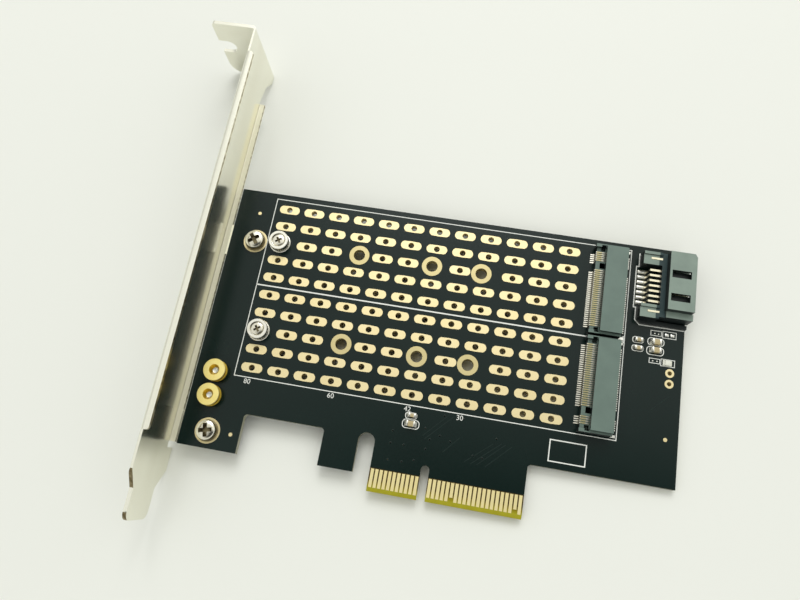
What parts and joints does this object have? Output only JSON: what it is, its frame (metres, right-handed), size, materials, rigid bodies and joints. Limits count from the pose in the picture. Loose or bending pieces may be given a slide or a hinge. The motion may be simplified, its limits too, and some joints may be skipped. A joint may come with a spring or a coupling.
{
  "type": "nvme adapter card",
  "caption": "Slot card with a keyed gold edge tongue, a folded steel bracket, module sockets with standoffs, a pad field and a SATA header, to fit solid-state modules in a computer.",
  "frame": {"origin": "middle of the key notch, at the tip of the edge tongue, on the board's component face", "axes": "+X from the bracket to the free end, +Y from the edge tongue up the board, +Z out of the component face"},
  "size_m": [0.1254, 0.1201, 0.0203],
  "materials": {
    "board_laminate": "dark solder mask over glass epoxy, satin",
    "gold_plate": "thin gold plating, semi-bright",
    "bracket_steel": "nickel plated, bright",
    "screw_steel": "nickel plated, bright",
    "standoff_steel": "nickel plated, knurled",
    "spare_brass": "turned brass, bright",
    "socket_plastic": "moulded, fine grain",
    "sata_plastic": "moulded, satin",
    "tinned_leads": "tin plated, semi-bright",
    "chip_ceramic": "fired ceramic with tinned ends",
    "led_lens": "clear resin over a white base"
  },
  "bodies": {
    "root": {"bracket_screw_lower": "screw_steel", "bracket_screw_upper": "screw_steel", "circuit_board": "board_laminate", "edge_contacts_back": "gold_plate", "edge_contacts_front": "gold_plate", "large_capacitors": "chip_ceramic", "lower_socket_anchors": "tinned_leads", "lower_socket_front_contacts": "gold_plate", "lower_socket_housing": "socket_plastic", "lower_socket_rear_contacts": "tinned_leads", "sata_contacts": "tinned_leads", "sata_hold_downs": "tinned_leads", "sata_housing": "sata_plastic", "slot_bracket": "bracket_steel", "small_capacitors": "chip_ceramic", "spare_standoff_lower": "spare_brass", "spare_standoff_upper": "spare_brass", "ssd_screw_lower": "screw_steel", "ssd_screw_upper": "screw_steel", "ssd_standoff_lower": "standoff_steel", "ssd_standoff_upper": "standoff_steel", "status_led": "led_lens", "thermal_pads": "gold_plate", "upper_socket_anchors": "tinned_leads", "upper_socket_front_contacts": "gold_plate", "upper_socket_housing": "socket_plastic", "upper_socket_rear_contacts": "tinned_leads"}
  },
  "joints": []
}
